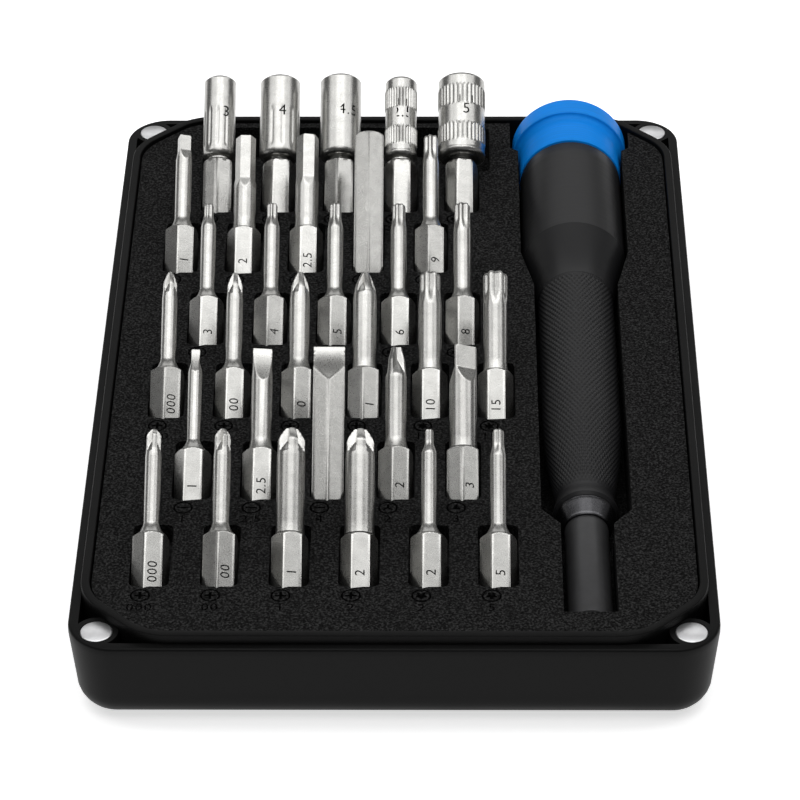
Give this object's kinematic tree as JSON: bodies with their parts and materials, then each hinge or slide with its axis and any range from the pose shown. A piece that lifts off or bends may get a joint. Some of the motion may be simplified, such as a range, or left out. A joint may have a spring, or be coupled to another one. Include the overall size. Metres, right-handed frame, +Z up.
{
  "type": "precision screwdriver set",
  "caption": "Open case base with a foam insert holding small hex bits at a slant in staggered rows, and a slim driver with a knurled grip and a swivel cap in its own recess.",
  "frame": {"origin": "centre of the flat bottom of the case", "axes": "+X right, +Y towards the rear (the nut socket end), +Z up out of the case"},
  "size_m": [0.0794, 0.1238, 0.0252],
  "materials": {
    "case_plastic": "satin moulded",
    "foam": "dense closed-cell foam, fine grain",
    "magnet_nickel": "nickel plated, satin",
    "bit_steel": "satin, fine blasted",
    "handle_black": "black anodised, satin",
    "ferrule_metal": "dark satin",
    "holder_metal": "dark satin",
    "inner_steel": "turned",
    "bearing_bronze": "sintered",
    "cap_blue": "blue anodised, satin"
  },
  "bodies": {
    "case": {"base_tray": "case_plastic", "foam_insert": "foam", "magnet_front_left": "magnet_nickel", "magnet_front_right": "magnet_nickel", "magnet_rear_left": "magnet_nickel", "magnet_rear_right": "magnet_nickel"},
    "driver": {"driver_handle": "handle_black", "driver_ferrule": "ferrule_metal", "bit_holder": "holder_metal", "holder_magnet": "magnet_nickel", "cap_axle": "inner_steel", "cap_clip": "inner_steel"},
    "cap": {"swivel_cap": "cap_blue", "cap_bearing": "bearing_bronze"},
    "bit_cross_000_body": {"bit_cross_000": "bit_steel"},
    "bit_cross_00_body": {"bit_cross_00": "bit_steel"},
    "bit_cross_1_body": {"bit_cross_1": "bit_steel"},
    "bit_cross_2_body": {"bit_cross_2": "bit_steel"},
    "bit_pentalobe_2_body": {"bit_pentalobe_2": "bit_steel"},
    "bit_pentalobe_5_body": {"bit_pentalobe_5": "bit_steel"},
    "bit_slot_1_body": {"bit_slot_1": "bit_steel"},
    "bit_slot_2_5_body": {"bit_slot_2_5": "bit_steel"},
    "bit_slot_4_body": {"bit_slot_4": "bit_steel"},
    "bit_three_wing_2_body": {"bit_three_wing_2": "bit_steel"},
    "bit_triangle_3_body": {"bit_triangle_3": "bit_steel"},
    "bit_pointed_cross_000_body": {"bit_pointed_cross_000": "bit_steel"},
    "bit_pointed_cross_00_body": {"bit_pointed_cross_00": "bit_steel"},
    "bit_pointed_cross_0_body": {"bit_pointed_cross_0": "bit_steel"},
    "bit_pointed_cross_1_body": {"bit_pointed_cross_1": "bit_steel"},
    "bit_hexalobe_10_body": {"bit_hexalobe_10": "bit_steel"},
    "bit_hexalobe_15_body": {"bit_hexalobe_15": "bit_steel"},
    "bit_hexalobe_3_body": {"bit_hexalobe_3": "bit_steel"},
    "bit_hexalobe_4_body": {"bit_hexalobe_4": "bit_steel"},
    "bit_hexalobe_5_body": {"bit_hexalobe_5": "bit_steel"},
    "bit_hexalobe_6_body": {"bit_hexalobe_6": "bit_steel"},
    "bit_hexalobe_8_body": {"bit_hexalobe_8": "bit_steel"},
    "bit_square_1_body": {"bit_square_1": "bit_steel"},
    "bit_hex_2_body": {"bit_hex_2": "bit_steel"},
    "bit_hex_2_5_body": {"bit_hex_2_5": "bit_steel"},
    "bit_hex_4_body": {"bit_hex_4": "bit_steel"},
    "bit_hexalobe_9_body": {"bit_hexalobe_9": "bit_steel"},
    "nut_socket_3_body": {"nut_socket_3": "bit_steel"},
    "nut_socket_4_body": {"nut_socket_4": "bit_steel"},
    "nut_socket_4_5_body": {"nut_socket_4_5": "bit_steel"},
    "nut_socket_2_5_body": {"nut_socket_2_5": "bit_steel"},
    "nut_socket_5_body": {"nut_socket_5": "bit_steel"}
  },
  "joints": [
    {"name": "driver_lift", "type": "slide", "parent": "case", "child": "driver", "axis": [0, 0, 1], "range_m": [0, 0.03]},
    {"name": "cap_spin", "type": "hinge", "parent": "driver", "child": "cap", "pos_m": [0.024, 0.05, 0.01], "axis": [0, 1, 0], "continuous": true},
    {"name": "bit_cross_000_lift", "type": "slide", "parent": "case", "child": "bit_cross_000_body", "axis": [0, 0.8387, 0.5446], "range_m": [0, 0.018]},
    {"name": "bit_cross_00_lift", "type": "slide", "parent": "case", "child": "bit_cross_00_body", "axis": [0, 0.8387, 0.5446], "range_m": [0, 0.018]},
    {"name": "bit_cross_1_lift", "type": "slide", "parent": "case", "child": "bit_cross_1_body", "axis": [0, 0.8387, 0.5446], "range_m": [0, 0.018]},
    {"name": "bit_cross_2_lift", "type": "slide", "parent": "case", "child": "bit_cross_2_body", "axis": [0, 0.8387, 0.5446], "range_m": [0, 0.018]},
    {"name": "bit_pentalobe_2_lift", "type": "slide", "parent": "case", "child": "bit_pentalobe_2_body", "axis": [0, 0.8387, 0.5446], "range_m": [0, 0.018]},
    {"name": "bit_pentalobe_5_lift", "type": "slide", "parent": "case", "child": "bit_pentalobe_5_body", "axis": [0, 0.8387, 0.5446], "range_m": [0, 0.018]},
    {"name": "bit_slot_1_lift", "type": "slide", "parent": "case", "child": "bit_slot_1_body", "axis": [0, 0.8387, 0.5446], "range_m": [0, 0.018]},
    {"name": "bit_slot_2_5_lift", "type": "slide", "parent": "case", "child": "bit_slot_2_5_body", "axis": [0, 0.8387, 0.5446], "range_m": [0, 0.018]},
    {"name": "bit_slot_4_lift", "type": "slide", "parent": "case", "child": "bit_slot_4_body", "axis": [0, 0.8387, 0.5446], "range_m": [0, 0.018]},
    {"name": "bit_three_wing_2_lift", "type": "slide", "parent": "case", "child": "bit_three_wing_2_body", "axis": [0, 0.8387, 0.5446], "range_m": [0, 0.018]},
    {"name": "bit_triangle_3_lift", "type": "slide", "parent": "case", "child": "bit_triangle_3_body", "axis": [0, 0.8387, 0.5446], "range_m": [0, 0.018]},
    {"name": "bit_pointed_cross_000_lift", "type": "slide", "parent": "case", "child": "bit_pointed_cross_000_body", "axis": [0, 0.8387, 0.5446], "range_m": [0, 0.018]},
    {"name": "bit_pointed_cross_00_lift", "type": "slide", "parent": "case", "child": "bit_pointed_cross_00_body", "axis": [0, 0.8387, 0.5446], "range_m": [0, 0.018]},
    {"name": "bit_pointed_cross_0_lift", "type": "slide", "parent": "case", "child": "bit_pointed_cross_0_body", "axis": [0, 0.8387, 0.5446], "range_m": [0, 0.018]},
    {"name": "bit_pointed_cross_1_lift", "type": "slide", "parent": "case", "child": "bit_pointed_cross_1_body", "axis": [0, 0.8387, 0.5446], "range_m": [0, 0.018]},
    {"name": "bit_hexalobe_10_lift", "type": "slide", "parent": "case", "child": "bit_hexalobe_10_body", "axis": [0, 0.8387, 0.5446], "range_m": [0, 0.018]},
    {"name": "bit_hexalobe_15_lift", "type": "slide", "parent": "case", "child": "bit_hexalobe_15_body", "axis": [0, 0.8387, 0.5446], "range_m": [0, 0.018]},
    {"name": "bit_hexalobe_3_lift", "type": "slide", "parent": "case", "child": "bit_hexalobe_3_body", "axis": [0, 0.8387, 0.5446], "range_m": [0, 0.018]},
    {"name": "bit_hexalobe_4_lift", "type": "slide", "parent": "case", "child": "bit_hexalobe_4_body", "axis": [0, 0.8387, 0.5446], "range_m": [0, 0.018]},
    {"name": "bit_hexalobe_5_lift", "type": "slide", "parent": "case", "child": "bit_hexalobe_5_body", "axis": [0, 0.8387, 0.5446], "range_m": [0, 0.018]},
    {"name": "bit_hexalobe_6_lift", "type": "slide", "parent": "case", "child": "bit_hexalobe_6_body", "axis": [0, 0.8387, 0.5446], "range_m": [0, 0.018]},
    {"name": "bit_hexalobe_8_lift", "type": "slide", "parent": "case", "child": "bit_hexalobe_8_body", "axis": [0, 0.8387, 0.5446], "range_m": [0, 0.018]},
    {"name": "bit_square_1_lift", "type": "slide", "parent": "case", "child": "bit_square_1_body", "axis": [0, 0.8387, 0.5446], "range_m": [0, 0.018]},
    {"name": "bit_hex_2_lift", "type": "slide", "parent": "case", "child": "bit_hex_2_body", "axis": [0, 0.8387, 0.5446], "range_m": [0, 0.018]},
    {"name": "bit_hex_2_5_lift", "type": "slide", "parent": "case", "child": "bit_hex_2_5_body", "axis": [0, 0.8387, 0.5446], "range_m": [0, 0.018]},
    {"name": "bit_hex_4_lift", "type": "slide", "parent": "case", "child": "bit_hex_4_body", "axis": [0, 0.8387, 0.5446], "range_m": [0, 0.018]},
    {"name": "bit_hexalobe_9_lift", "type": "slide", "parent": "case", "child": "bit_hexalobe_9_body", "axis": [0, 0.8387, 0.5446], "range_m": [0, 0.018]},
    {"name": "nut_socket_3_lift", "type": "slide", "parent": "case", "child": "nut_socket_3_body", "axis": [0, 0.8387, 0.5446], "range_m": [0, 0.018]},
    {"name": "nut_socket_4_lift", "type": "slide", "parent": "case", "child": "nut_socket_4_body", "axis": [0, 0.8387, 0.5446], "range_m": [0, 0.018]},
    {"name": "nut_socket_4_5_lift", "type": "slide", "parent": "case", "child": "nut_socket_4_5_body", "axis": [0, 0.8387, 0.5446], "range_m": [0, 0.018]},
    {"name": "nut_socket_2_5_lift", "type": "slide", "parent": "case", "child": "nut_socket_2_5_body", "axis": [0, 0.8387, 0.5446], "range_m": [0, 0.018]},
    {"name": "nut_socket_5_lift", "type": "slide", "parent": "case", "child": "nut_socket_5_body", "axis": [0, 0.8387, 0.5446], "range_m": [0, 0.018]}
  ]
}
